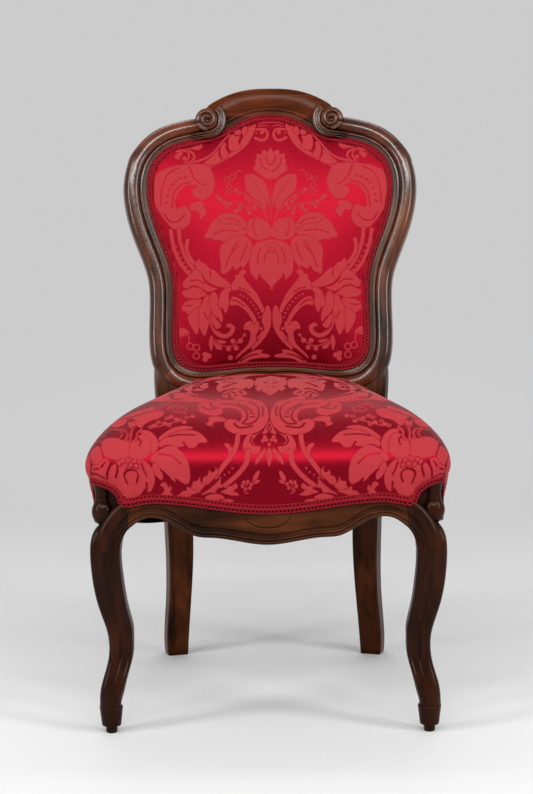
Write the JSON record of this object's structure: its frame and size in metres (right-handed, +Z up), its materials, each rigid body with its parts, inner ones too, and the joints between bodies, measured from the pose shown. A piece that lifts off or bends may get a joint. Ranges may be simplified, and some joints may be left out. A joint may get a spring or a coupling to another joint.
{
  "type": "upholstered side chair",
  "caption": "Upholstered balloon-back side chair with a carved dark wood frame, cabriole front legs, a sprung seat and a padded back in patterned cloth.",
  "frame": {"origin": "on the floor, below the middle of the chair's box", "axes": "+Z up, the chair faces -Y, and +X is towards the sitter's left hand"},
  "size_m": [0.5278, 0.5704, 0.9485],
  "materials": {
    "show_wood": "french polished",
    "peg_wood": "worn",
    "beech": "raw",
    "screw_steel": "dull",
    "spring_steel": "coppered",
    "webbing": "woven",
    "hessian": "woven",
    "stuffing": "fibre",
    "damask": "silk satin",
    "gimp_braid": "braided",
    "dust_cloth": "woven"
  },
  "bodies": {
    "root": {"rear_leg_right": "show_wood", "rear_leg_left": "show_wood", "crest_rail": "show_wood", "lower_back_rail": "show_wood", "front_leg_right": "show_wood", "front_leg_left": "show_wood", "front_seat_rail": "show_wood", "side_seat_rail_right": "show_wood", "side_seat_rail_left": "show_wood", "front_foot_peg_right": "peg_wood", "front_foot_peg_left": "peg_wood", "rear_seat_rail": "beech", "corner_block_front_right": "beech", "corner_block_front_left": "beech", "corner_block_rear_right": "beech", "corner_block_rear_left": "beech", "crest_dowels": "beech", "lower_rail_dowels": "beech", "corner_block_screws": "screw_steel", "seat_springs": "spring_steel", "seat_webbing_lengthwise": "webbing", "seat_webbing_crosswise": "webbing", "back_webbing_upright": "webbing", "back_webbing_crosswise": "webbing", "seat_hessian": "hessian", "back_hessian": "hessian", "seat_stuffing": "stuffing", "back_stuffing": "stuffing", "seat_cover": "damask", "back_cover": "damask", "outside_back_cover": "damask", "seat_gimp": "gimp_braid", "back_gimp": "gimp_braid", "outside_back_gimp": "gimp_braid", "seat_dust_cover": "dust_cloth"}
  },
  "joints": []
}
